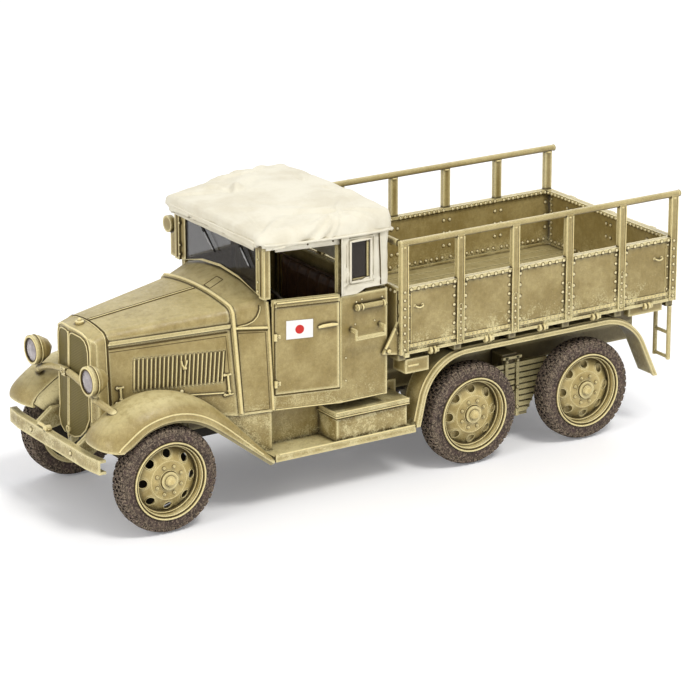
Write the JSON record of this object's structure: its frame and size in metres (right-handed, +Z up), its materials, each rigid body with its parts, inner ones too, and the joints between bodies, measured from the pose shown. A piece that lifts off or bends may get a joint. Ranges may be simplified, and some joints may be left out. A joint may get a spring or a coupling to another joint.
{
  "type": "military cargo truck, scale model",
  "caption": "Scale model of a six-wheeled army cargo truck with an open steel bed, canvas cab roof, V radiator, crowned fenders and round pressed wheels that turn.",
  "frame": {"origin": "on the ground plane, below the middle of the bounding box", "axes": "+X forward along the truck, +Y to the vehicle's left, +Z up"},
  "size_m": [0.1734, 0.059, 0.0736],
  "materials": {
    "paint": "satin",
    "dark_paint": "matte",
    "tyre": "matte",
    "canvas": "matte",
    "seat": "satin",
    "glass": "gloss",
    "lens": "gloss",
    "wood": "matte"
  },
  "bodies": {
    "truck": {"bed_bearers": "paint", "bed_fittings": "paint", "bed_floor": "wood", "bed_side_left": "paint", "bed_side_right": "paint", "bed_sills": "paint", "bogie_springs": "paint", "bumper": "paint", "bumper_irons": "paint", "cab_back": "paint", "cab_floor": "paint", "cab_quarters": "paint", "canopy": "canvas", "cowl": "paint", "cross_members": "paint", "dashboard": "dark_paint", "door_left": "paint", "door_right": "paint", "drive_shafts": "dark_paint", "engine": "dark_paint", "exhaust": "dark_paint", "frame_rails": "paint", "front_axle": "paint", "front_fenders": "paint", "front_springs": "paint", "headboard": "paint", "headlamp_lenses": "lens", "headlamps": "paint", "hood_sides": "paint", "hood_top": "paint", "ladder": "paint", "lamp_bar": "paint", "middle_axle": "paint", "radiator_grille": "dark_paint", "radiator_shell": "paint", "rear_axle": "paint", "rear_fenders": "paint", "running_boards": "paint", "seat_back": "seat", "seat_cushion": "seat", "side_bracket": "paint", "side_lamp": "dark_paint", "steering_wheel": "dark_paint", "tailgate": "paint", "tie_rod": "paint", "toolbox": "paint", "windscreen_frame": "paint", "windscreen_glass": "glass"},
    "road_wheel_front_left": {"tyre_front_left": "tyre", "wheel_front_left": "paint"},
    "road_wheel_front_right": {"tyre_front_right": "tyre", "wheel_front_right": "paint"},
    "road_wheel_middle_left": {"tyre_middle_left": "tyre", "wheel_middle_left": "paint"},
    "road_wheel_middle_right": {"tyre_middle_right": "tyre", "wheel_middle_right": "paint"},
    "road_wheel_rear_left": {"tyre_rear_left": "tyre", "wheel_rear_left": "paint"},
    "road_wheel_rear_right": {"tyre_rear_right": "tyre", "wheel_rear_right": "paint"}
  },
  "joints": [
    {"name": "spin_front_left", "type": "hinge", "parent": "truck", "child": "road_wheel_front_left", "pos_m": [0.0687, 0.0244, 0.0137], "axis": [0, 1, 0], "continuous": true},
    {"name": "spin_front_right", "type": "hinge", "parent": "truck", "child": "road_wheel_front_right", "pos_m": [0.0687, -0.0244, 0.0137], "axis": [0, 1, 0], "continuous": true},
    {"name": "spin_middle_left", "type": "hinge", "parent": "truck", "child": "road_wheel_middle_left", "pos_m": [-0.0217, 0.0244, 0.0137], "axis": [0, 1, 0], "continuous": true},
    {"name": "spin_middle_right", "type": "hinge", "parent": "truck", "child": "road_wheel_middle_right", "pos_m": [-0.0217, -0.0244, 0.0137], "axis": [0, 1, 0], "continuous": true},
    {"name": "spin_rear_left", "type": "hinge", "parent": "truck", "child": "road_wheel_rear_left", "pos_m": [-0.0579, 0.0244, 0.0137], "axis": [0, 1, 0], "continuous": true},
    {"name": "spin_rear_right", "type": "hinge", "parent": "truck", "child": "road_wheel_rear_right", "pos_m": [-0.0579, -0.0244, 0.0137], "axis": [0, 1, 0], "continuous": true}
  ]
}
